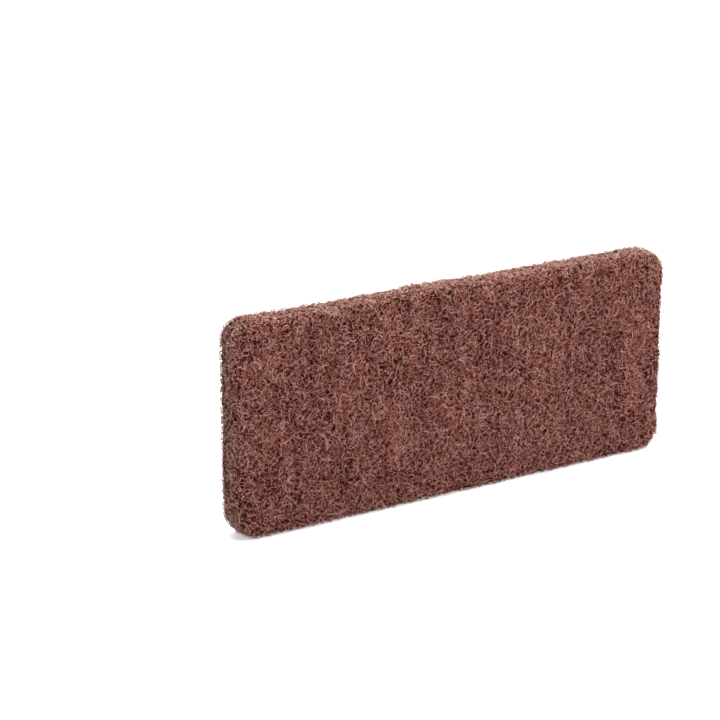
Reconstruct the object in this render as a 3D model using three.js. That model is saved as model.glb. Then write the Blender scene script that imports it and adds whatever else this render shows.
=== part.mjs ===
// An abrasive cleaning pad: one slab of coarse non-woven web with rounded corners.
// Millimetres, +Z up. The slab stands on its long cut edge with its front face towards -Y.
// X runs along the length, and the origin lies under the middle of the slab.

import * as THREE from "three";
import { ImprovedNoise } from "three/addons/math/ImprovedNoise.js";

// Size of the slab, taken over its high spots
const LENGTH = 260;
const HEIGHT = 110;
const THICKNESS = 20;

// Rounding of the slab
const CORNER_RADIUS = 12; // of the outline, seen from the front
const EDGE_ROUNDING = 4; // where a cut edge turns into a broad face

// Relief of the broad faces, each size from its middle to its highest spot
const TUFT_HEIGHT = 0.55; // tufts of matted fibre
const TUFT_SPACING = 8.5;
const CLUMP_HEIGHT = 0.45; // wider clumps, where the web was laid thicker
const CLUMP_SPACING = 34;
const STREAK_HEIGHT = 0.35; // faint upright streaks in the web
const STREAK_SPACING = 9;
const STREAK_LENGTH = 70;

// Wander of the cut edges about the straight outline
const EDGE_WANDER = 0.9;
const EDGE_WANDER_SPACING = 46;
const EDGE_NICK = 0.35; // short nicks where single tufts were cut
const EDGE_NICK_SPACING = 12;
const EDGE_NICK_WIDTH = 8; // across the thickness

// The bottom edge is cut straight, and the wander of the edges fades in above it
const STRAIGHT_FOOT = 14;

// Fineness of the surface
const FACE_STEP = 4.2;
const CORNER_STEPS = 3;
const ROUNDING_STEPS = 3;
const RIM_STEPS = 3;
const STEP_SCATTER = 0.9; // sideways scatter of the surface points, so that no rows show
const SCATTER_SPACING = 8.5;

// Each pattern of the relief reads its own part of the noise
const PATTERN = { tufts: 1, clumps: 2, streaks: 3, wander: 4, nicks: 5, scatterX: 6, scatterZ: 7 };
const PATTERN_SHIFT = 9.37; // between patterns, and twice that between the front and the back

// Colour and finish of the fibres
const FIBRE_COLOUR = 0x7a4a42;
const FIBRE_ROUGHNESS = 0.92;

const NOISE_REACH = 1.5; // brings the noise's own reach to about 1
const noise = new ImprovedNoise();

// Roundings that the slab has room for
const corner = Math.min(CORNER_RADIUS, 0.45 * HEIGHT, 0.45 * LENGTH);
const rounding = Math.min(EDGE_ROUNDING, 0.45 * THICKNESS, 0.9 * corner);

// Smooth noise from about -1 to 1 at a point, with features about one spacing apart.
// Side is -1 in front, 1 behind and 0 where both faces share the pattern.
function relief(pattern, side, u, v, spacingU, spacingV = spacingU) {
  const shift = PATTERN_SHIFT * (PATTERN[pattern] + 2 * side);
  return NOISE_REACH * noise.noise(u / spacingU + shift, v / spacingV - shift, shift / 3);
}

// Positions along one side of the outline from its middle out to both ends, each with its turn.
// The turn is 0 on the rim and a quarter turn where the flat of the broad face begins.
function stations(size) {
  const half = size / 2;
  const quarter = Math.PI / 2;
  const outer = [];
  for (let i = 0; i < ROUNDING_STEPS; i += 1) {
    const turn = (quarter * i) / ROUNDING_STEPS;
    outer.push({ at: half - rounding * (1 - Math.cos(turn)), turn });
  }
  for (let i = 0; i < CORNER_STEPS; i += 1) {
    const inset = rounding + ((corner - rounding) * i) / CORNER_STEPS;
    outer.push({ at: half - inset, turn: quarter });
  }
  const straight = half - corner;
  const cells = Math.max(2, Math.round((2 * straight) / FACE_STEP));
  const middle = [];
  for (let i = 0; i <= cells; i += 1) {
    middle.push({ at: -straight + (2 * straight * i) / cells, turn: quarter });
  }
  const low = outer.map((s) => ({ at: -s.at, turn: s.turn }));
  return [...low, ...middle, ...outer.reverse()];
}

// Moves a point of the square-cornered grid onto the round-cornered outline.
// Returns the point and the outward direction of the outline nearest to it.
function onOutline(x, z) {
  const straightX = LENGTH / 2 - corner;
  const straightZ = HEIGHT / 2 - corner;
  const a = (Math.abs(x) - straightX) / corner;
  const b = (Math.abs(z) - straightZ) / corner;
  const signX = x < 0 ? -1 : 1;
  const signZ = z < 0 ? -1 : 1;
  if (a <= 0 || b <= 0) {
    const sideways = a > b;
    return { x, z, outX: sideways ? signX : 0, outZ: sideways ? 0 : signZ };
  }
  const eighth = Math.PI / 4;
  const angle = a >= b ? (eighth * b) / a : 2 * eighth - (eighth * a) / b;
  const reach = corner * Math.max(a, b);
  return {
    x: signX * (straightX + reach * Math.cos(angle)),
    z: signZ * (straightZ + reach * Math.sin(angle)),
    outX: signX * Math.cos(angle),
    outZ: signZ * Math.sin(angle),
  };
}

// Height of the web on a broad face above its middle level.
function faceRelief(x, z, side) {
  const tufts = relief("tufts", side, x, z, TUFT_SPACING);
  const clumps = relief("clumps", side, x, z, CLUMP_SPACING);
  const streaks = relief("streaks", side, x, z, STREAK_SPACING, STREAK_LENGTH);
  return TUFT_HEIGHT * tufts + CLUMP_HEIGHT * clumps + STREAK_HEIGHT * streaks;
}

// How far the cut edge stands out from the straight outline.
function edgeRelief(x, y, z) {
  const wander = relief("wander", 0, x, z, EDGE_WANDER_SPACING);
  const nicks = relief("nicks", 0, x + z, y, EDGE_NICK_SPACING, EDGE_NICK_WIDTH);
  return EDGE_WANDER * wander + EDGE_NICK * nicks;
}

// One point of the slab's surface from its grid stations and its place through the thickness.
function surfacePoint(stationX, stationZ, across) {
  const turn = Math.min(stationX.turn, stationZ.turn);
  const flat = THICKNESS / 2 - rounding;
  const side = Math.sign(across);
  const y = turn > 0 ? side * (flat + rounding * Math.sin(turn)) : across * flat;
  const place = onOutline(stationX.at, stationZ.at);
  const onFace = Math.sin(turn);
  const onEdge = Math.cos(turn);
  const scatter = turn < Math.PI / 2 ? 0 : STEP_SCATTER;
  const x = place.x + scatter * relief("scatterX", side, place.x, place.z, SCATTER_SPACING);
  const z = place.z + scatter * relief("scatterZ", side, place.x, place.z, SCATTER_SPACING);
  const out = onEdge * edgeRelief(x, y, z);
  const aboveFoot = THREE.MathUtils.smoothstep(z + HEIGHT / 2, 0, STRAIGHT_FOOT);
  const lift = place.outZ < 0 ? aboveFoot : 1;
  return new THREE.Vector3(
    x + out * place.outX,
    y + onFace * side * faceRelief(x, z, side),
    z + out * place.outZ * lift + HEIGHT / 2,
  );
}

// The closed surface of the slab: two broad faces joined by the cut rim.
function slabGeometry() {
  const across = stations(LENGTH);
  const upward = stations(HEIGHT);
  const lastX = across.length - 1;
  const lastZ = upward.length - 1;
  const positions = [];
  const indices = [];
  const numbered = new Map();

  const vertex = (i, j, k) => {
    const key = [i, j, k].join();
    if (!numbered.has(key)) {
      const through = (2 * j) / RIM_STEPS - 1;
      numbered.set(key, numbered.size);
      positions.push(...surfacePoint(across[i], upward[k], through).toArray());
    }
    return numbered.get(key);
  };
  const patch = (a, b, c, d, swap) => {
    if (swap) {
      indices.push(a, b, d, b, c, d);
    } else {
      indices.push(a, b, c, a, c, d);
    }
  };

  for (let i = 0; i < lastX; i += 1) {
    for (let k = 0; k < lastZ; k += 1) {
      const swap = (i + k) % 2 === 1;
      const front = [[i, k], [i + 1, k], [i + 1, k + 1], [i, k + 1]];
      patch(...front.map(([p, q]) => vertex(p, 0, q)), swap);
      patch(...front.reverse().map(([p, q]) => vertex(p, RIM_STEPS, q)), swap);
    }
  }
  for (let j = 0; j < RIM_STEPS; j += 1) {
    for (let i = 0; i < lastX; i += 1) {
      const row = [[i, j], [i, j + 1], [i + 1, j + 1], [i + 1, j]];
      patch(...row.map(([p, q]) => vertex(p, q, 0)), false);
      patch(...row.reverse().map(([p, q]) => vertex(p, q, lastZ)), false);
    }
    for (let k = 0; k < lastZ; k += 1) {
      const row = [[j, k], [j, k + 1], [j + 1, k + 1], [j + 1, k]];
      patch(...row.map(([p, q]) => vertex(0, p, q)), false);
      patch(...row.reverse().map(([p, q]) => vertex(lastX, p, q)), false);
    }
  }

  const geometry = new THREE.BufferGeometry();
  geometry.setAttribute("position", new THREE.Float32BufferAttribute(positions, 3));
  geometry.setIndex(indices);
  return geometry;
}

// Brings the relief back inside the stated size, with the straight bottom edge kept at Z = 0.
function fitToSize(geometry) {
  geometry.computeBoundingBox();
  const size = geometry.boundingBox.getSize(new THREE.Vector3());
  const centre = geometry.boundingBox.getCenter(new THREE.Vector3());
  geometry.translate(-centre.x, -centre.y, -geometry.boundingBox.min.z);
  geometry.scale(LENGTH / size.x, THICKNESS / size.y, HEIGHT / size.z);
  geometry.computeVertexNormals();
  return geometry;
}

const fibres = new THREE.MeshStandardMaterial({
  color: FIBRE_COLOUR,
  roughness: FIBRE_ROUGHNESS,
  metalness: 0,
});

const pad = new THREE.Mesh(fitToSize(slabGeometry()), fibres);
pad.name = "web_slab";

const model = new THREE.Group();
model.name = "abrasive_cleaning_pad";
model.add(pad);

export default model;
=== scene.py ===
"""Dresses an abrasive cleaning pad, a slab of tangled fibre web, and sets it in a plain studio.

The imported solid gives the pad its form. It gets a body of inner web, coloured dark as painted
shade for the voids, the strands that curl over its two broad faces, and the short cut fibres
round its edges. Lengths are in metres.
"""

import logging
import math
from dataclasses import dataclass, field
from enum import Enum

import bmesh
import bpy
import numpy as np
from mathutils import Matrix, Vector, noise


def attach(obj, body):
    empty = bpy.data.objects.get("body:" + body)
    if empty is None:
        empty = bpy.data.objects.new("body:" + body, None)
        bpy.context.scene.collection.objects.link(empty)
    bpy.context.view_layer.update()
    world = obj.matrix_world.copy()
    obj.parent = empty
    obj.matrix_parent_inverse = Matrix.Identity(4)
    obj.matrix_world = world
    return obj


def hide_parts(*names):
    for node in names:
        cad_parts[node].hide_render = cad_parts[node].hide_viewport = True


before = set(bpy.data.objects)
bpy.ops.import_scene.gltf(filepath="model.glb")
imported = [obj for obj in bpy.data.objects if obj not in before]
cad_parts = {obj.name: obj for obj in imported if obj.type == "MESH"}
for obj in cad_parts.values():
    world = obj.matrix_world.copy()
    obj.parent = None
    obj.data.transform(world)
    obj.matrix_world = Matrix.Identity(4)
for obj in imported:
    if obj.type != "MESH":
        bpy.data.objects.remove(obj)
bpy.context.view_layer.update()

MM = 0.001
SLAB_NODE = "web_slab"
BODY = "root"
STRIP_MAP = "OFBake"
WHITE = "ffffff"

# The unevenness of the web, which sets how many strands a place has and how much painted shade it
# gets
CLUMP_SPACING = 6 * MM
STREAK_SPACING = 4 * MM
STREAK_STRETCH = 9.0
WEB_DETAIL = 2.0

# The turn of every pattern, in radians about each axis, so that no face lies along its grid
PATTERN_TURN = (0.62, 0.41, 0.87)

# The middle value of a pattern that runs from 0 to 1
MIDDLE = 0.5

Socket = bpy.types.NodeSocket
Sockets = bpy.types.bpy_prop_collection

log = logging.getLogger("cleaning_pad")


class Side(Enum):
    """The parts of the pad's surface that carry a coat of their own."""

    FRONT = "front"
    BACK = "back"
    EDGE = "edge"


class Attribute(Enum):
    """The values that each strand carries with it."""

    TONE = "strand_tone"
    # The painted shade of a strand, more where it lies deeper
    DEPTH = "strand_painted_shade"
    STRAY = "strand_stray"


class Draw(Enum):
    """What is drawn by chance for each strand, with the step that sets each draw apart."""

    DEPTH = 11
    TONE = 12
    STRAY = 13
    LEAN_ALONG = 21
    LEAN_ACROSS = 22
    TURN = 23
    SHAPE = 24
    SIZE = 25


def linear(code: str) -> tuple[float, float, float, float]:
    """Turns a written colour into the scene's linear values, by the usual screen formula.

    Args:
        code: The colour as six hexadecimal digits.

    Returns:
        Red, green, blue and an alpha of one.
    """
    parts = [int(code[i : i + 2], 16) / 255 for i in (0, 2, 4)]
    red, green, blue = (p / 12.92 if p <= 0.04045 else ((p + 0.055) / 1.055) ** 2.4 for p in parts)
    return red, green, blue, 1.0


def placed(name: str, data: bpy.types.ID) -> bpy.types.Object:
    """Puts a new object into the scene.

    Args:
        name: The object's name.
        data: Its mesh, lamp or camera.

    Returns:
        The object, at the origin.
    """
    made = bpy.data.objects.new(name, data)
    bpy.context.scene.collection.objects.link(made)
    return made


class Sketch:
    """Adds nodes to a node tree and joins their sockets."""

    def __init__(self, tree: bpy.types.NodeTree) -> None:
        """Empties the tree that the nodes go into."""
        self.tree = tree
        tree.nodes.clear()

    def feed(self, socket: Socket, value: object) -> None:
        """Joins a socket to another one, or sets its value.

        Args:
            socket: The input that is fed.
            value: An output socket, or a plain value.
        """
        if isinstance(value, Socket):
            self.tree.links.new(value, socket)
        else:
            socket.default_value = value

    def node(
        self, kind: str, inputs: dict[str | int, object] | None = None, **settings: object
    ) -> bpy.types.Node:
        """Adds one node.

        Args:
            kind: The node's type name.
            inputs: What its inputs get, by name or number.
            **settings: The node's own settings.

        Returns:
            The new node.
        """
        made = self.tree.nodes.new(kind)
        for name, value in settings.items():
            setattr(made, name, value)
        for socket, value in (inputs or {}).items():
            self.feed(made.inputs[socket], value)
        return made

    def maths(self, operation: str, first: object, second: object = 0.0) -> Socket:
        """Adds a sum of two numbers, each a socket or a plain number."""
        return self.node("ShaderNodeMath", {0: first, 1: second}, operation=operation).outputs[0]

    def spread(
        self, value: object, low: object, high: object, to_low: object, to_high: object
    ) -> Socket:
        """Moves a value from the first range to the second one, and holds it inside that."""
        places = {0: value, 1: low, 2: high, 3: to_low, 4: to_high}
        return self.node("ShaderNodeMapRange", places).outputs[0]

    def vectors(self, operation: str, first: object, second: object) -> Socket:
        """Adds a sum of two vectors, each a socket or three numbers."""
        made = self.node("ShaderNodeVectorMath", {0: first, 1: second}, operation=operation)
        return made.outputs["Value" if operation == "DOT_PRODUCT" else "Vector"]

    def scaled(self, vector: object, size: object) -> Socket:
        """Multiplies a vector by a number."""
        made = self.node("ShaderNodeVectorMath", {0: vector, "Scale": size}, operation="SCALE")
        return made.outputs[0]

    def noise(self, place: object, size: float, detail: float = 0.0) -> Socket:
        """Adds a smooth random pattern from 0 to 1, turned so that no face lies along its grid.

        Args:
            place: The socket of the place where it is read.
            size: The distance between two of its spots.
            detail: How much finer structure it has.

        Returns:
            The pattern's socket.
        """
        turned = self.node(
            "ShaderNodeVectorRotate",
            {"Vector": place, "Rotation": PATTERN_TURN},
            rotation_type="EULER_XYZ",
        ).outputs[0]
        places = {"Vector": turned, "Scale": 1 / size, "Detail": detail}
        return self.node("ShaderNodeTexNoise", places).outputs[0]

    def web_pattern(self, place: object) -> tuple[Socket, Socket]:
        """Adds the two patterns of the web, both high where it is thick.

        Args:
            place: The socket of the place where they are read.

        Returns:
            The clumps, and the upright streaks.
        """
        clumps = self.noise(place, CLUMP_SPACING, WEB_DETAIL)
        upright = self.vectors("MULTIPLY", place, (1.0, 1.0, 1 / STREAK_STRETCH))
        return clumps, self.noise(upright, STREAK_SPACING, WEB_DETAIL)

    def mix(self, share: object, first: object, second: object) -> Socket:
        """Mixes two colours, with the share of the second one from 0 to 1."""
        made = self.node("ShaderNodeMix", {0: share, 6: first, 7: second}, data_type="RGBA")
        return made.outputs[2]

    def position(self) -> Socket:
        """Reads where each point of the geometry is."""
        return self.node("GeometryNodeInputPosition").outputs[0]

    def carried(self, name: object) -> Socket:
        """Reads a number that the geometry carries, by its name or by the name's socket."""
        made = self.node("GeometryNodeInputNamedAttribute", {"Name": name}, data_type="FLOAT")
        return made.outputs[0]

    def moved(self, geometry: object, offset: object) -> Socket:
        """Moves the points of a geometry by an offset."""
        made = self.node("GeometryNodeSetPosition", {"Geometry": geometry, "Offset": offset})
        return made.outputs[0]


def add_sockets(
    tree: bpy.types.NodeTree, inputs: dict[str, str], outputs: dict[str, str]
) -> None:
    """Gives a node group its named inputs and outputs.

    Args:
        tree: The node group.
        inputs: Each input's name and type, without the words NodeSocket.
        outputs: The same for each output.
    """
    for direction, wanted in (("INPUT", inputs), ("OUTPUT", outputs)):
        for name, kind in wanted.items():
            tree.interface.new_socket(name, in_out=direction, socket_type=f"NodeSocket{kind}")


class ShaderGroup:
    """A shader node group that is built once, and placed in each material that uses it."""

    NAME: str
    INPUTS: dict[str, str]
    OUTPUTS: dict[str, str]

    @classmethod
    def group(cls) -> bpy.types.NodeTree:
        """Builds the group, or finds it where it was built before.

        Returns:
            The group's tree.
        """
        ready = bpy.data.node_groups.get(cls.NAME)
        if ready:
            return ready
        tree = bpy.data.node_groups.new(cls.NAME, "ShaderNodeTree")
        add_sockets(tree, cls.INPUTS, cls.OUTPUTS)
        sketch = Sketch(tree)
        given = sketch.node("NodeGroupInput").outputs
        place = sketch.node("ShaderNodeTexCoord").outputs["Object"]
        sketch.node("NodeGroupOutput", cls.drawn(sketch, given, place))
        return tree

    @classmethod
    def drawn(cls, sketch: Sketch, given: Sockets, place: Socket) -> dict[str, Socket]:
        """Adds the nodes that make one group differ from another."""
        raise NotImplementedError

    @classmethod
    def in_material(cls, sketch: Sketch, values: dict[str, object]) -> Sockets:
        """Places the group in a material with that material's own values, for its outputs."""
        return sketch.node("ShaderNodeGroup", values, node_tree=cls.group()).outputs


class FibreTone(ShaderGroup):
    """The group that colours a strand by its own tone and the grit on it, and paints shade on it.

    The painted shade darkens the colour toward the deep one, more for a deeper strand and in the
    gaps, clumps and streaks of the web.

    A range of four numbers gives where a value starts and ends, and what those two become.
    """

    NAME = "fibre_tone"
    INPUTS = {
        "Deep": "Color",
        "Strand": "Color",
        "Bright": "Color",
        "Dust": "Color",
        "Tone": "Float",
        "Depth": "Float",
        "Dusting": "Float",
    }
    OUTPUTS = {"Color": "Color", "Roughness": "Float"}
    DUST_SIZE = 14 * MM
    DUST_DETAIL = 2.0
    GRIT_SIZE = 0.7 * MM
    GAP_SIZE = 1.5 * MM
    FINE_DETAIL = 1.0
    TONE_TO_BRIGHT = (0.35, 1.0, 0.0, 0.75)
    GRIT_TO_BRIGHT = (0.5, 0.75, 0.0, 0.4)
    GRIT_TO_ROUGH = (0.3, 0.7, 0.95, 0.7)
    DUST_TO_BLOOM = (0.4, 0.65, 0.0, 1.0)
    DEPTH_TO_SHADE_GAIN = (0.0, 1.0, 0.55, 1.3)
    PATTERN_TO_SHADE = (0.35, 0.65, 1.0, -1.0)
    GAP_SHADE_REACH = 0.42
    GRIT_SHADE_REACH = 0.5
    CLUMP_SHADE_REACH = 0.05
    STREAK_SHADE_REACH = 0.13

    @classmethod
    def drawn(cls, sketch: Sketch, given: Sockets, place: Socket) -> dict[str, Socket]:
        """Adds the nodes of the colour and the roughness.

        Args:
            sketch: The group's sketch.
            given: The group's input sockets.
            place: The socket of the place on the piece.

        Returns:
            What each output gets.
        """
        dust = sketch.noise(place, cls.DUST_SIZE, cls.DUST_DETAIL)
        grit = sketch.noise(place, cls.GRIT_SIZE, cls.FINE_DETAIL)
        clumps, streaks = sketch.web_pattern(place)
        gaps = sketch.noise(place, cls.GAP_SIZE, cls.FINE_DETAIL)
        by_tone = sketch.spread(given["Tone"], *cls.TONE_TO_BRIGHT)
        by_grit = sketch.spread(grit, *cls.GRIT_TO_BRIGHT)
        bright = sketch.maths("MINIMUM", sketch.maths("ADD", by_tone, by_grit), 1.0)
        colour = sketch.mix(bright, given["Strand"], given["Bright"])
        bloom = sketch.maths("MULTIPLY", sketch.spread(dust, *cls.DUST_TO_BLOOM), given["Dusting"])
        colour = sketch.mix(bloom, colour, given["Dust"])
        # Painted shade: the strand's depth value, with the gap, grit, clump and streak patterns,
        # mixes the colour toward the deep colour, and the fine gap and grit patterns darken deeper
        # strands more. The grit also lightens the colour as its own speckle.
        shade_gain = sketch.spread(given["Depth"], *cls.DEPTH_TO_SHADE_GAIN)
        shade = given["Depth"]
        for pattern, reach in (
            (gaps, sketch.maths("MULTIPLY", shade_gain, cls.GAP_SHADE_REACH)),
            (grit, sketch.maths("MULTIPLY", shade_gain, cls.GRIT_SHADE_REACH)),
            (clumps, cls.CLUMP_SHADE_REACH),
            (streaks, cls.STREAK_SHADE_REACH),
        ):
            centred = sketch.spread(pattern, *cls.PATTERN_TO_SHADE)
            shade = sketch.maths("ADD", shade, sketch.maths("MULTIPLY", centred, reach))
        colour = sketch.mix(sketch.spread(shade, 0.0, 1.0, 0.0, 1.0), colour, given["Deep"])
        return {"Color": colour, "Roughness": sketch.spread(grit, *cls.GRIT_TO_ROUGH)}


class StrandWeb(ShaderGroup):
    """The group that draws the deeper strands: crooked loops that cross each other.

    Each layer of loops follows one level of a noise, and is painted darker than the layer before
    it, as painted shade for loops that lie deeper.
    """

    NAME = "strand_web"
    INPUTS = {"Line Width": "Float"}
    OUTPUTS = {"Web": "Float"}
    LINE_WIDTH = 0.018
    SOLID_SHARE = 0.4
    LOOP_SIZES = (2.7 * MM, 2.2 * MM, 2.4 * MM, 1.9 * MM, 2.1 * MM)
    LOOP_DETAIL = 1.0
    LAYER_SHIFT = 57 * MM
    TOP_LEVEL = 0.66
    SHADE_PER_LAYER = 0.12

    @classmethod
    def drawn(cls, sketch: Sketch, given: Sockets, place: Socket) -> dict[str, Socket]:
        """Adds the nodes of the loops, one layer after another.

        Args:
            sketch: The group's sketch.
            given: The group's input sockets.
            place: The socket of the place on the piece.

        Returns:
            What each output gets.
        """
        solid = sketch.maths("MULTIPLY", given["Line Width"], cls.SOLID_SHARE)
        web = 0.0
        for number, size in enumerate(cls.LOOP_SIZES):
            shift = number * cls.LAYER_SHIFT
            apart = sketch.vectors("ADD", place, (shift, -shift, shift))
            level = sketch.noise(apart, size, cls.LOOP_DETAIL)
            gap = sketch.maths("ABSOLUTE", sketch.maths("SUBTRACT", level, MIDDLE))
            # Painted shade: each later layer's lines are darker, standing in for the shade on loops
            # that lie deeper
            brightness = cls.TOP_LEVEL - number * cls.SHADE_PER_LAYER
            line = sketch.spread(gap, solid, given["Line Width"], brightness, 0.0)
            web = sketch.maths("MAXIMUM", web, line)
        return {"Web": web}


class GritRelief(ShaderGroup):
    """The group that raises small lumps of resin and grit on the fibres."""

    NAME = "grit_relief"
    INPUTS = {"Lumps": "Float"}
    OUTPUTS = {"Height": "Float"}
    LUMP_SIZE = 0.45 * MM
    LUMP_DETAIL = 2.0
    STRENGTH = 0.6
    DEPTH = 0.2 * MM

    @classmethod
    def drawn(cls, sketch: Sketch, given: Sockets, place: Socket) -> dict[str, Socket]:
        """Adds the nodes of the lumps, whose height is set in each material."""
        lumps = sketch.noise(place, cls.LUMP_SIZE, cls.LUMP_DETAIL)
        return {"Height": sketch.maths("MULTIPLY", lumps, given["Lumps"])}


@dataclass(frozen=True)
class FibreFinish:
    """The look of one kind of fibre.

    Attributes:
        name: The material's name.
        deep: The colour of the painted shade, toward which deeper strands and the web's gaps are
            darkened.
        strand: The usual colour of a strand.
        bright: The colour of the palest strands.
        dust: The dry tan bloom that patches of the web carry.
        dusting: How much of that bloom there is, from 0 to 1.
        lumps: The height of the grit on the fibres, from 0 to 1.
        gloss: The strength of the fibres' faint shine, from 0 to 1.
        stranded: Whether the piece carries a tone and a depth for each strand.
    """

    name: str
    deep: str
    strand: str
    bright: str
    dust: str
    dusting: float
    lumps: float
    gloss: float
    stranded: bool = True

    # The tone of every strand that is only drawn in the material
    DRAWN_TONE = 0.4

    def material(self) -> bpy.types.Material:
        """Builds the material.

        Returns:
            A rough, non-metallic material with colour, roughness and relief from its nodes.
        """
        made = bpy.data.materials.new(self.name)
        made.use_nodes = True
        sketch = Sketch(made.node_tree)
        if self.stranded:
            # Each strand's random tone, and the painted shade for its depth that the coat stored
            tone, depth = (
                sketch.node("ShaderNodeAttribute", attribute_name=carried.value).outputs["Fac"]
                for carried in (Attribute.TONE, Attribute.DEPTH)
            )
        else:
            # The inner web's painted loops; between the lines and on lower layers it is darkened
            # toward the deep colour as painted shade
            web = StrandWeb.in_material(sketch, {"Line Width": StrandWeb.LINE_WIDTH})["Web"]
            tone, depth = self.DRAWN_TONE, sketch.maths("SUBTRACT", 1.0, web)
        look = FibreTone.in_material(
            sketch,
            {
                "Deep": linear(self.deep),
                "Strand": linear(self.strand),
                "Bright": linear(self.bright),
                "Dust": linear(self.dust),
                "Dusting": self.dusting,
                "Tone": tone,
                "Depth": depth,
            },
        )
        relief = {
            "Height": GritRelief.in_material(sketch, {"Lumps": self.lumps})["Height"],
            "Strength": GritRelief.STRENGTH,
            "Distance": GritRelief.DEPTH,
        }
        shader = sketch.node(
            "ShaderNodeBsdfPrincipled",
            {
                "Base Color": look["Color"],
                "Roughness": look["Roughness"],
                "Normal": sketch.node("ShaderNodeBump", relief).outputs["Normal"],
                "Specular IOR Level": self.gloss,
            },
        )
        sketch.node("ShaderNodeOutputMaterial", {"Surface": shader.outputs[0]})
        return made


# The inner web is coloured darker than the strands, as painted shade for the inside of the web.
# Each finish's deep colour is the painted shade that deeper strands and gaps are darkened toward.
INNER_WEB = FibreFinish(
    name="inner_web",
    deep="200401",
    strand="94594f",
    bright="b07a70",
    dust="5a362c",
    dusting=0.2,
    lumps=1.0,
    gloss=0.0,
    stranded=False,
)
FACE_STRANDS = FibreFinish(
    name="face_strands",
    deep="300904",
    strand="a8665d",
    bright="e8b5aa",
    dust="9a7062",
    dusting=0.15,
    lumps=0.8,
    gloss=0.01,
)
EDGE_FIBRES = FibreFinish(
    name="edge_fibres",
    deep="38130b",
    strand="b48174",
    bright="ecc7bc",
    dust="bf9e90",
    dusting=0.6,
    lumps=0.8,
    gloss=0.01,
)


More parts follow.
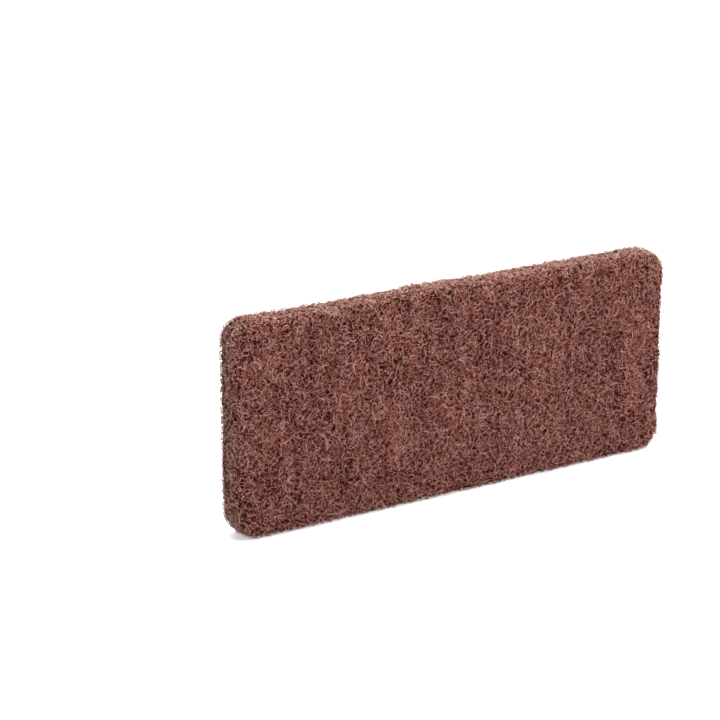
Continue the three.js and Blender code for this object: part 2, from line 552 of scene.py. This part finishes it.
@dataclass(frozen=True)
class Coat:
    """Strands that lie on one side of the pad, made by a Geometry Nodes tree.

    Attributes:
        name: The finished piece's name.
        side: The side of the pad that it covers.
        density: How many strands there are for each square metre.
        arcs: Radius and sweep, in degrees, of each shape that a strand may have.
        reach: How far the curl moves a strand off its arc.
        curl_size: The distance between two curls.
        radius: Half the thickness of a strand.
        shallow: How deep the highest strands lie, negative where they stand proud.
        deep: How deep the lowest strands lie.
        lean: How far a strand may lean out of the surface, in degrees.
        proud: How far the curl may lift a strand above the surface.
        stray: How much further the few loose strands stand out.
        shade: The painted shade that the material gives the highest and the lowest strand, from 0,
            none, to 1, the deep colour.
        points: How many points a strand has.
        seed: The start of everything random.
    """

    name: str
    side: Side
    density: float
    arcs: tuple[tuple[float, float], ...]
    reach: float
    curl_size: float
    radius: float
    shallow: float
    deep: float
    lean: float
    proud: float
    stray: float
    shade: tuple[float, float]
    points: int
    seed: int

    # Where clumps and streaks together start and end, and what share of the density that gives
    WEB_TO_SHARE = (0.75, 1.25, 0.5, 1.5)
    # How much smaller and larger than its shape a strand may be
    SIZES = (0.65, 1.35)
    STRAY_RARITY = 7.0
    # Keeps the number that picks a shape just under the count of shapes
    UNDER = 0.001
    # Sets strands of different tones far apart in the pattern that curls them
    CURL_VARIETY = 997.0
    CURL_DETAIL = 1.0
    # Brings the pattern's usual reach, about a quarter, up to the whole
    CURL_GAIN = 4.0
    # A strand's thickness goes from the least to the most of its swelling over this range
    LUMP_RANGE = (0.3, 0.7)
    LUMP_SPACING = 1.3 * MM
    SWELLING = (0.65, 1.4)
    SIDES = 3
    STRIP_MARGIN = 0.1
    CAP_REACH = 0.6

    @classmethod
    def tree_inputs(cls) -> dict[str, str]:
        """Lists the tree's inputs.

        Returns:
            Each input's name and type.
        """
        lengths = ("Curl Reach", "Curl Size", "Strand Radius", "Shallow", "Deep", "Proud", "Stray")
        others = ("Density", "Lean", "Shade At Top", "Shade Below")
        numbers = {name: "Float" for name in lengths + others}
        geometry = {"Surface": "Geometry", "Where": "String"}
        return geometry | numbers | {"Seed": "Int", "Finish": "Material"}

    def random(
        self, sketch: Sketch, given: Sockets, draw: Draw, low: object = 0.0, high: object = 1.0
    ) -> Socket:
        """Adds a random number for each strand.

        Args:
            sketch: The tree's sketch.
            given: The tree's input sockets.
            draw: What the number is for.
            low: The lowest value, a socket or a number.
            high: The highest value, a socket or a number.

        Returns:
            The number's socket.
        """
        start = sketch.maths("ADD", given["Seed"], float(draw.value))
        places = {2: low, 3: high, "Seed": start}
        return sketch.node("FunctionNodeRandomValue", places, data_type="FLOAT").outputs[1]

    def scattered(self, sketch: Sketch, given: Sockets) -> tuple[Socket, Socket]:
        """Adds the points that the strands start from.

        Args:
            sketch: The tree's sketch.
            given: The tree's input sockets.

        Returns:
            The points and the turn that lays a strand on the surface.
        """
        clumps, streaks = sketch.web_pattern(sketch.position())
        share = sketch.spread(sketch.maths("ADD", clumps, streaks), *self.WEB_TO_SHARE)
        here = sketch.maths("MULTIPLY", given["Density"], sketch.carried(given["Where"]))
        density = sketch.maths("MULTIPLY", here, share)
        spots = sketch.node(
            "GeometryNodeDistributePointsOnFaces",
            {"Mesh": given["Surface"], "Density": density, "Seed": given["Seed"]},
        ).outputs
        share_down = self.random(sketch, given, Draw.DEPTH)
        chance = self.random(sketch, given, Draw.STRAY)
        # Each strand carries a random tone, a chance of standing loose, and the painted shade that
        # darkens it for its depth
        carried = {
            Attribute.TONE: self.random(sketch, given, Draw.TONE),
            Attribute.DEPTH: sketch.spread(
                share_down, 0.0, 1.0, given["Shade At Top"], given["Shade Below"]
            ),
            Attribute.STRAY: sketch.maths("POWER", chance, self.STRAY_RARITY),
        }
        points = spots["Points"]
        for attribute, value in carried.items():
            points = sketch.node(
                "GeometryNodeStoreNamedAttribute",
                {"Geometry": points, "Name": attribute.value, "Value": value},
                data_type="FLOAT",
                domain="POINT",
            ).outputs[0]
        depth = sketch.spread(share_down, 0.0, 1.0, given["Shallow"], given["Deep"])
        down = sketch.scaled(spots["Normal"], sketch.maths("MULTIPLY", depth, -1.0))
        return sketch.moved(points, down), spots["Rotation"]

    def shapes(self, sketch: Sketch) -> Socket:
        """Adds the arcs that a strand may have, each bent about its own middle.

        Args:
            sketch: The tree's sketch.

        Returns:
            The arcs, each an instance of its own.
        """
        gathered = sketch.node("GeometryNodeGeometryToInstance")
        for radius, sweep in reversed(self.arcs):
            arc = sketch.node(
                "GeometryNodeCurveArc",
                {
                    "Resolution": self.points,
                    "Radius": radius,
                    "Start Angle": -math.radians(sweep) / 2,
                    "Sweep Angle": math.radians(sweep),
                },
                mode="RADIUS",
            ).outputs[0]
            centred = sketch.node(
                "GeometryNodeTransform", {"Geometry": arc, "Translation": (-radius, 0.0, 0.0)}
            ).outputs[0]
            sketch.feed(gathered.inputs[0], centred)
        return gathered.outputs[0]

    def laid(self, sketch: Sketch, given: Sockets) -> Socket:
        """Lays an arc on each point, turned and leaning by chance.

        Args:
            sketch: The tree's sketch.
            given: The tree's input sockets.

        Returns:
            The curves, each one of its own.
        """
        points, upright = self.scattered(sketch, given)
        lean = given["Lean"]
        backward = sketch.maths("MULTIPLY", lean, -1.0)
        turn = sketch.node(
            "ShaderNodeCombineXYZ",
            {
                "X": self.random(sketch, given, Draw.LEAN_ALONG, backward, lean),
                "Y": self.random(sketch, given, Draw.LEAN_ACROSS, backward, lean),
                "Z": self.random(sketch, given, Draw.TURN, 0.0, math.tau),
            },
        ).outputs[0]
        turned = sketch.node("FunctionNodeEulerToRotation", {0: turn}).outputs[0]
        stance = sketch.node(
            "FunctionNodeRotateRotation", {0: upright, 1: turned}, rotation_space="LOCAL"
        ).outputs[0]
        number = self.random(sketch, given, Draw.SHAPE, 0.0, len(self.arcs) - self.UNDER)
        placed_arcs = sketch.node(
            "GeometryNodeInstanceOnPoints",
            {
                "Points": points,
                "Instance": self.shapes(sketch),
                "Pick Instance": True,
                "Instance Index": sketch.maths("FLOOR", number),
                "Rotation": stance,
                "Scale": self.random(sketch, given, Draw.SIZE, *self.SIZES),
            },
        ).outputs[0]
        return sketch.node("GeometryNodeRealizeInstances", {0: placed_arcs}).outputs[0]

    def curled(self, sketch: Sketch, given: Sockets, curves: Socket) -> Socket:
        """Curls each strand in its own way.

        Args:
            sketch: The tree's sketch.
            given: The tree's input sockets.
            curves: The strands as laid.

        Returns:
            The curled strands.
        """
        tone = sketch.carried(Attribute.TONE.value)
        curl = sketch.node(
            "ShaderNodeTexNoise",
            {
                "Vector": sketch.position(),
                "W": sketch.maths("MULTIPLY", tone, self.CURL_VARIETY),
                "Scale": sketch.maths("DIVIDE", 1.0, given["Curl Size"]),
                "Detail": self.CURL_DETAIL,
            },
            noise_dimensions="4D",
        ).outputs[1]
        centred = sketch.vectors("SUBTRACT", curl, (MIDDLE, MIDDLE, MIDDLE))
        reach = sketch.maths("MULTIPLY", given["Curl Reach"], self.CURL_GAIN)
        return sketch.moved(curves, sketch.scaled(centred, reach))

    def held(self, sketch: Sketch, given: Sockets, curves: Socket) -> Socket:
        """Keeps the strands close to the pad's surface and above what the pad stands on.

        Args:
            sketch: The tree's sketch.
            given: The tree's input sockets.
            curves: The curled strands.

        Returns:
            The strands in their final place.
        """
        place = sketch.position()
        normal = sketch.node("GeometryNodeInputNormal").outputs[0]
        nearest, outward = (
            sketch.node(
                "GeometryNodeSampleNearestSurface",
                {"Mesh": given["Surface"], "Value": wanted, "Sample Position": place},
                data_type="FLOAT_VECTOR",
            ).outputs[0]
            for wanted in (place, normal)
        )
        height = sketch.vectors("DOT_PRODUCT", sketch.vectors("SUBTRACT", place, nearest), outward)
        loose = sketch.maths("MULTIPLY", sketch.carried(Attribute.STRAY.value), given["Stray"])
        limit = sketch.maths("ADD", given["Proud"], loose)
        over = sketch.maths("MINIMUM", sketch.maths("SUBTRACT", limit, height), 0.0)
        curves = sketch.moved(curves, sketch.scaled(outward, over))
        parts = sketch.node("ShaderNodeSeparateXYZ", {0: place}).outputs
        lowest = sketch.maths("MULTIPLY", given["Strand Radius"], max(self.SWELLING))
        lifted = {
            "X": parts["X"],
            "Y": parts["Y"],
            "Z": sketch.maths("MAXIMUM", parts["Z"], lowest),
        }
        clear = sketch.node("ShaderNodeCombineXYZ", lifted).outputs[0]
        stand = {"Geometry": curves, "Position": clear}
        return sketch.node("GeometryNodeSetPosition", stand).outputs[0]

    def tree(self) -> bpy.types.NodeTree:
        """Builds the tree that turns a patch of the pad's surface into strands.

        Returns:
            The tree, which ends in Realize Instances and Set Material.
        """
        tree = bpy.data.node_groups.new(f"{self.name}_tree", "GeometryNodeTree")
        add_sockets(tree, self.tree_inputs(), {"Strands": "Geometry"})
        sketch = Sketch(tree)
        given = sketch.node("NodeGroupInput").outputs
        curves = self.curled(sketch, given, self.laid(sketch, given))
        curves = self.held(sketch, given, curves)
        lumps = sketch.noise(sketch.position(), self.LUMP_SPACING)
        swelling = sketch.spread(lumps, *self.LUMP_RANGE, *self.SWELLING)
        thickness = sketch.maths("MULTIPLY", given["Strand Radius"], swelling)
        profile = sketch.node(
            "GeometryNodeCurvePrimitiveCircle",
            {"Resolution": self.SIDES, "Radius": 1.0},
            mode="RADIUS",
        ).outputs[0]
        tubes = sketch.node(
            "GeometryNodeCurveToMesh",
            {"Curve": curves, "Profile Curve": profile, "Scale": thickness, "Fill Caps": True},
        ).outputs[0]
        smooth = sketch.node("GeometryNodeSetShadeSmooth", {"Geometry": tubes}).outputs[0]
        whole = sketch.node("GeometryNodeRealizeInstances", {0: smooth}).outputs[0]
        finished = {"Geometry": whole, "Material": given["Finish"]}
        done = sketch.node("GeometryNodeSetMaterial", finished).outputs[0]
        sketch.node("NodeGroupOutput", {"Strands": done})
        return tree

    def add_strips(self, mesh: bpy.types.Mesh) -> None:
        """Gives each strand a strip of its own in the piece's UV map, so that no two share a spot.

        A strand's vertices follow each other, one ring after another. Each strip runs along its
        strand and once round it, with the end caps folded out past both ends.

        Args:
            mesh: The finished strands.
        """
        corners = np.empty(len(mesh.loops), dtype=np.int32)
        mesh.loops.foreach_get("vertex_index", corners)
        first = np.empty(len(mesh.polygons), dtype=np.int32)
        mesh.polygons.foreach_get("loop_start", first)
        strand, spot = np.divmod(corners, self.points * self.SIDES)
        ring, around = np.divmod(spot, self.SIDES)
        face_sizes = np.diff(first, append=len(corners))
        length, width = (
            np.repeat(np.maximum.reduceat(of, first) - np.minimum.reduceat(of, first), face_sizes)
            for of in (ring, around)
        )
        is_cap = length == 0
        closes = (width == self.SIDES - 1) & ~is_cap
        fold = np.where(ring == 0, -self.CAP_REACH, self.CAP_REACH)
        along = ring + np.where(is_cap & (around == 1), fold, 0.0)
        along = (along + self.CAP_REACH) / (self.points - 1 + 2 * self.CAP_REACH)
        across = np.where(closes & (around == 0), self.SIDES, around) / self.SIDES
        rows = math.ceil(math.sqrt(len(mesh.vertices) / (self.points * self.SIDES)))
        cells = np.stack((strand % rows, strand // rows), axis=1)
        inside = np.stack((along, across), axis=1) * (1 - 2 * self.STRIP_MARGIN)
        places = (cells + (inside + self.STRIP_MARGIN)) / rows
        strips = mesh.uv_layers.new(name=STRIP_MAP)
        strips.data.foreach_set("uv", places.ravel().astype(np.float32))

    def build(self, surface: bpy.types.Mesh, finish: bpy.types.Material) -> bpy.types.Object:
        """Grows the coat on its side of the pad's surface.

        Args:
            surface: The pad's surface, with its weights for each side.
            finish: The material of the strands.

        Returns:
            The coat as one plain mesh object.
        """
        bearer = placed(f"{self.name}_bearer", surface)
        grown = bearer.modifiers.new("strands", "NODES")
        grown.node_group = self.tree()
        values = {
            "Density": self.density,
            "Curl Reach": self.reach,
            "Curl Size": self.curl_size,
            "Strand Radius": self.radius,
            "Shallow": self.shallow,
            "Deep": self.deep,
            "Proud": self.proud,
            "Stray": self.stray,
            "Where": self.side.value,
            "Lean": math.radians(self.lean),
            "Shade At Top": self.shade[0],
            "Shade Below": self.shade[1],
            "Seed": self.seed,
            "Finish": finish,
        }
        for item in grown.node_group.interface.items_tree:
            if item.item_type == "SOCKET" and item.in_out == "INPUT" and item.name in values:
                grown[item.identifier] = values[item.name]
        bpy.context.view_layer.update()
        evaluated = bearer.evaluated_get(bpy.context.evaluated_depsgraph_get())
        mesh = bpy.data.meshes.new_from_object(evaluated)
        mesh.name = self.name
        bearer.modifiers.remove(grown)
        bpy.data.objects.remove(bearer)
        self.add_strips(mesh)
        return placed(self.name, mesh)


@dataclass
class WebBody:
    """The inner web of the pad, which shows between the strands, coloured dark as painted shade for
    the voids.

    Attributes:
        inset: How far it lies inside the pad's broad faces.
        edge_inset: How far it lies inside the cut edges, where the fibres stand denser.
        cuts: How often each edge of the solid is cut, to make its mesh finer.
        pit_depth: The depth of the voids in it.
        pit_size: The distance between two voids.
        swell: The height of the wider unevenness.
        swell_size: The distance between two swells.
    """

    inset: float = 0.85 * MM
    edge_inset: float = 0.4 * MM
    cuts: int = 2
    pit_depth: float = 0.7 * MM
    pit_size: float = 2.2 * MM
    swell: float = 0.3 * MM
    swell_size: float = 7 * MM

    NAME = "web_body"
    MERGE_DISTANCE = 0.001 * MM

    def surface(self) -> bpy.types.Mesh:
        """Copies the solid's surface and merges its loose triangles.

        Returns:
            The closed surface as a mesh of its own.
        """
        shell = bmesh.new()
        shell.from_mesh(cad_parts[SLAB_NODE].data)
        bmesh.ops.remove_doubles(shell, verts=shell.verts, dist=self.MERGE_DISTANCE)
        made = bpy.data.meshes.new("pad_surface")
        shell.to_mesh(made)
        shell.free()
        return made

    def height(self, place: Vector) -> float:
        """Gives the relief of the inner web.

        Args:
            place: A point on its surface.

        Returns:
            How far the surface stands out there.
        """
        gaps = noise.voronoi(place / self.pit_size)[0]
        pits = min(1.0, gaps[1] - gaps[0])
        swell = noise.noise(place / self.swell_size)
        return self.swell * swell + self.pit_depth * (pits - MIDDLE)

    def build(self, surface: bpy.types.Mesh, finish: bpy.types.Material) -> bpy.types.Object:
        """Makes the inner web.

        Args:
            surface: The pad's surface.
            finish: Its material.

        Returns:
            The finished body as one closed mesh object.
        """
        shell = bmesh.new()
        shell.from_mesh(surface)
        shell.normal_update()
        for vertex in shell.verts:
            broad = vertex.normal.y ** 2
            vertex.co -= vertex.normal * (self.edge_inset + (self.inset - self.edge_inset) * broad)
        bmesh.ops.subdivide_edges(
            shell, edges=shell.edges, cuts=self.cuts, use_grid_fill=True, smooth=0.0
        )
        bmesh.ops.triangulate(shell, faces=shell.faces)
        shell.normal_update()
        moves = [vertex.normal * self.height(vertex.co) for vertex in shell.verts]
        for vertex, move in zip(shell.verts, moves, strict=True):
            vertex.co += move
        for face in shell.faces:
            face.smooth = True
        made = bpy.data.meshes.new(self.NAME)
        shell.to_mesh(made)
        shell.free()
        made.materials.append(finish)
        return placed(self.NAME, made)


TOP_ARCS = ((1.5 * MM, 150.0), (2.1 * MM, 130.0), (3.2 * MM, 100.0), (6.0 * MM, 60.0))
UNDER_ARCS = ((1.0 * MM, 150.0), (1.7 * MM, 120.0), (2.8 * MM, 90.0), (5.5 * MM, 55.0))
EDGE_ARCS = ((0.8 * MM, 180.0), (1.6 * MM, 110.0))


@dataclass
class CleaningPad:
    """The whole pad: its inner web and the coats of strands on it.

    Attributes:
        body: The inner web.
        fill: How full the pad is, from 0, slack, to 1, tight. It is not used.
        edge_turn: How far the surface has to face along the thickness, from 0 to 1, for the
            edge's coat to start to thin out and for it to end.
        coats: The coats, with the finish of each.
    """

    body: WebBody = field(default_factory=WebBody)
    fill: float = 0.8
    edge_turn: tuple[float, float] = (0.55, 0.95)
    coats: tuple[tuple[Coat, FibreFinish], ...] = ()

    def __post_init__(self) -> None:
        """Lists the coats where none were given."""
        if self.coats:
            return
        faces = []
        for number, side in enumerate((Side.FRONT, Side.BACK)):
            shared = {
                "side": side,
                "density": 250_000,
                "reach": 0.38 * MM,
                "curl_size": 2.4 * MM,
                "radius": 0.13 * MM,
                "lean": 9.0,
                "points": 5,
            }
            faces += [
                Coat(
                    name=f"{side.value}_under_strands",
                    arcs=UNDER_ARCS,
                    shallow=0.35 * MM,
                    deep=0.85 * MM,
                    proud=-0.2 * MM,
                    stray=0.0,
                    # Painted shade: the under strands are darkened from about half way to fully
                    # toward the deep colour
                    shade=(0.45, 1.0),
                    seed=100 + number,
                    **shared,
                ),
                Coat(
                    name=f"{side.value}_top_strands",
                    arcs=TOP_ARCS,
                    shallow=-0.1 * MM,
                    deep=0.6 * MM,
                    proud=0.35 * MM,
                    stray=1.0 * MM,
                    # Painted shade: the top strands are darkened at most about a third of the way
                    # toward the deep colour
                    shade=(0.0, 0.35),
                    seed=200 + number,
                    **shared,
                ),
            ]
        edge = Coat(
            name="edge_cut_fibres",
            side=Side.EDGE,
            density=585_000,
            arcs=EDGE_ARCS,
            reach=0.5 * MM,
            curl_size=1.6 * MM,
            radius=0.14 * MM,
            shallow=-0.4 * MM,
            deep=0.5 * MM,
            lean=38.0,
            proud=0.75 * MM,
            stray=0.8 * MM,
            # Painted shade: the cut fibres are darkened up to most of the way toward the deep
            # colour where they lie deeper
            shade=(0.0, 0.7),
            points=5,
            seed=300,
        )
        self.coats = tuple((coat, FACE_STRANDS) for coat in faces) + ((edge, EDGE_FIBRES),)

    def weigh_sides(self, surface: bpy.types.Mesh) -> None:
        """Marks how much of each coat a place on the surface carries.

        Args:
            surface: The pad's surface, which gets an attribute for each side.
        """
        outward = [vertex.normal.y for vertex in surface.vertices]
        low, high = self.edge_turn
        broad = [min(1.0, max(0.0, (abs(y) - low) / (high - low))) for y in outward]
        weights = {
            Side.FRONT: [share if y < 0 else 0.0 for share, y in zip(broad, outward, strict=True)],
            Side.BACK: [share if y > 0 else 0.0 for share, y in zip(broad, outward, strict=True)],
            Side.EDGE: [1.0 - share for share in broad],
        }
        for side, values in weights.items():
            surface.attributes.new(side.value, "FLOAT", "POINT").data.foreach_set("value", values)

    def build(self) -> list[bpy.types.Object]:
        """Makes every piece of the pad.

        Returns:
            The pieces, the inner web first.
        """
        surface = self.body.surface()
        body = self.body.build(surface, INNER_WEB.material())
        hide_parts(SLAB_NODE)
        pieces = [body]
        self.weigh_sides(surface)
        finishes = dict.fromkeys(finish for _, finish in self.coats)
        materials = {finish: finish.material() for finish in finishes}
        for coat, finish in self.coats:
            pieces.append(coat.build(surface, materials[finish]))
        for piece in pieces:
            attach(piece, BODY)
        return pieces


@dataclass(frozen=True)
class Lamp:
    """One soft, square lamp.

    Attributes:
        name: The lamp's name.
        place: Where it hangs.
        size: The length of its sides.
        power: Its power, in watts.
    """

    name: str
    place: tuple[float, float, float]
    size: float
    power: float

    def hang(self, aim: Vector) -> None:
        """Hangs the lamp.

        Args:
            aim: The point that it faces.
        """
        data = bpy.data.lights.new(self.name, "AREA")
        data.shape = "SQUARE"
        data.size = self.size
        data.energy = self.power
        made = placed(self.name, data)
        made.location = self.place
        made.rotation_mode = "QUATERNION"
        made.rotation_quaternion = (aim - Vector(self.place)).to_track_quat("-Z", "Y")


@dataclass
class Studio:
    """A pale floor, soft lamps and the camera.

    Attributes:
        floor_size: The length of the floor's sides.
        floor_grey: The floor's own colour.
        lamps: The lamps.
        lamp_aim: The point that they all face.
        ambient: The strength of the light from all round.
        glow: How much brighter the floor is to the camera and in a shine than its own colour
            makes it, near the object and far from it.
        glow_reach: Where that brightening starts to rise and where it ends.
        azimuth: How far round the object the camera stands, in degrees.
        elevation: How far above the horizon it stands, in degrees.
        roll: How far it is turned about its own axis, in degrees.
        focal_length: The lens, in millimetres, on a film of the given width.
        film_width: The width of the film, in millimetres.
        sight: How far the camera sees.
        distance: How far the camera is from the point that it looks at.
        aim: That point.
        shift: How far the camera is moved to its right and up, to frame the object.
    """

    floor_size: float = 12.0
    floor_grey: str = "d8d8d8"
    lamps: tuple[Lamp, ...] = (
        Lamp("key", (0.6, -1.0, 1.25), 0.35, 20.5),
        Lamp("top", (0.0, 0.35, 1.5), 1.0, 28.0),
        Lamp("fill", (0.1, -1.7, 0.5), 1.0, 8.0),
        Lamp("left", (-1.4, -0.2, 0.8), 0.8, 4.4),
        Lamp("right", (1.4, 0.1, 0.8), 0.8, 7.0),
        Lamp("back", (0.5, 1.5, 0.9), 0.9, 20.0),
    )
    lamp_aim: tuple[float, float, float] = (0.0, 0.0, 0.05)
    ambient: float = 0.38
    glow: tuple[float, float] = (0.4, 1.0)
    glow_reach: tuple[float, float] = (0.35, 1.3)
    azimuth: float = -32.05
    elevation: float = 17.414
    roll: float = -0.20
    focal_length: float = 109.14
    film_width: float = 36.0
    sight: float = 100.0
    distance: float = 1.176
    aim: tuple[float, float, float] = (0.0, 0.0898, 0.055)
    shift: tuple[float, float] = (0.00112, -0.00968)

    def camera(self) -> None:
        """Sets up the camera where the photo was taken from."""
        turn, rise, roll = (math.radians(a) for a in (self.azimuth, self.elevation, self.roll))
        back = Vector(
            (math.sin(turn) * math.cos(rise), -math.cos(turn) * math.cos(rise), math.sin(rise))
        )
        level = Vector((math.cos(turn), math.sin(turn), 0.0))
        upward = back.cross(level)
        right = level * math.cos(roll) + upward * math.sin(roll)
        up = upward * math.cos(roll) - level * math.sin(roll)
        place = Vector(self.aim) + back * self.distance + right * self.shift[0] + up * self.shift[1]
        data = bpy.data.cameras.new("camera")
        data.lens = self.focal_length
        data.sensor_width = self.film_width
        data.clip_end = self.sight
        made = placed("camera", data)
        stance = Matrix((right, up, back)).transposed().to_4x4()
        made.matrix_world = Matrix.Translation(place) @ stance
        bpy.context.scene.camera = made

    @staticmethod
    def seen(sketch: Sketch) -> Socket:
        """Tells what the camera sees, straight or by a shine, from what only lights the object.

        Args:
            sketch: The sketch of the material or of the world.

        Returns:
            1 where it is seen and 0 elsewhere.
        """
        path = sketch.node("ShaderNodeLightPath").outputs
        shone = sketch.maths("MAXIMUM", path["Is Glossy Ray"], path["Is Transmission Ray"])
        return sketch.maths("MAXIMUM", path["Is Camera Ray"], shone)

    def world(self) -> None:
        """Surrounds the scene with even light, which the camera sees as white."""
        made = bpy.data.worlds.new("surroundings")
        bpy.context.scene.world = made
        made.use_nodes = True
        sketch = Sketch(made.node_tree)
        strength = sketch.spread(self.seen(sketch), 0.0, 1.0, self.ambient, 1.0)
        even = {"Color": linear(WHITE), "Strength": strength}
        light = sketch.node("ShaderNodeBackground", even)
        sketch.node("ShaderNodeOutputWorld", {"Surface": light.outputs[0]})

    def floor(self) -> None:
        """Lays the pale floor, which keeps the object's shadow."""
        half = self.floor_size / 2
        corners = [(-half, -half, 0.0), (half, -half, 0.0), (half, half, 0.0), (-half, half, 0.0)]
        data = bpy.data.meshes.new("floor")
        data.from_pydata(corners, [], [(0, 1, 2, 3)])
        made = placed("floor", data)
        paint = bpy.data.materials.new("floor_paint")
        paint.use_nodes = True
        sketch = Sketch(paint.node_tree)
        matt = sketch.node("ShaderNodeBsdfDiffuse", {"Color": linear(self.floor_grey)})
        place = sketch.node("ShaderNodeTexCoord").outputs["Object"]
        away = sketch.node("ShaderNodeVectorMath", {0: place}, operation="LENGTH").outputs["Value"]
        white = sketch.spread(away, *self.glow_reach, *self.glow)
        strength = sketch.maths("MULTIPLY", self.seen(sketch), white)
        glow = sketch.node("ShaderNodeEmission", {"Color": linear(WHITE), "Strength": strength})
        both = sketch.node("ShaderNodeAddShader", {0: matt.outputs[0], 1: glow.outputs[0]})
        sketch.node("ShaderNodeOutputMaterial", {"Surface": both.outputs[0]})
        data.materials.append(paint)

    def build(self) -> None:
        """Sets up the whole studio."""
        self.camera()
        for lamp in self.lamps:
            lamp.hang(Vector(self.lamp_aim))
        self.world()
        self.floor()
        bpy.context.scene.view_settings.view_transform = "Standard"


def main() -> None:
    """Builds the studio and the pad, and reports each piece."""
    logging.basicConfig(level=logging.INFO, format="%(name)s: %(message)s")
    Studio().build()
    pieces = CleaningPad().build()
    for piece in pieces:
        log.info("%s: %d faces", piece.name, len(piece.data.polygons))
    log.info("%d pieces, %d faces", len(pieces), sum(len(p.data.polygons) for p in pieces))


if __name__ == "__main__":
    main()
